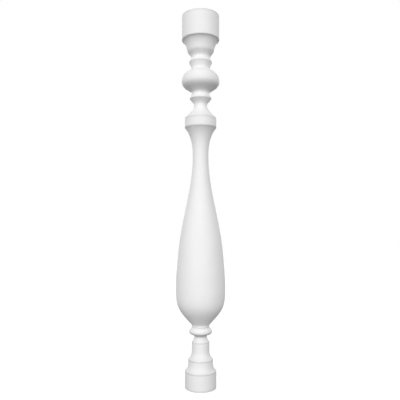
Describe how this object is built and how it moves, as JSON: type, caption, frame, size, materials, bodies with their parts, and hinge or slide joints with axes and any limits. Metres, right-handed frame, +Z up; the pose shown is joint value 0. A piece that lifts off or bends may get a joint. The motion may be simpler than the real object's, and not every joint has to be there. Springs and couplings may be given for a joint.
{
  "type": "stone baluster",
  "caption": "Turned stone baluster: round plinth, hollow-sided tiers, ring, long vase-shaped belly, collar, ball between rings, bell and plain round cap.",
  "frame": {"origin": "middle of the flat underside of the plinth", "axes": "+Z up along the axis of turning, from the plinth to the cap; the baluster is round, so X and Y are any two level directions"},
  "size_m": [0.1198, 0.1198, 0.9],
  "materials": {
    "stone": "smooth matt fine-grained white stone"
  },
  "bodies": {
    "root": {"baluster": "stone"}
  },
  "joints": []
}
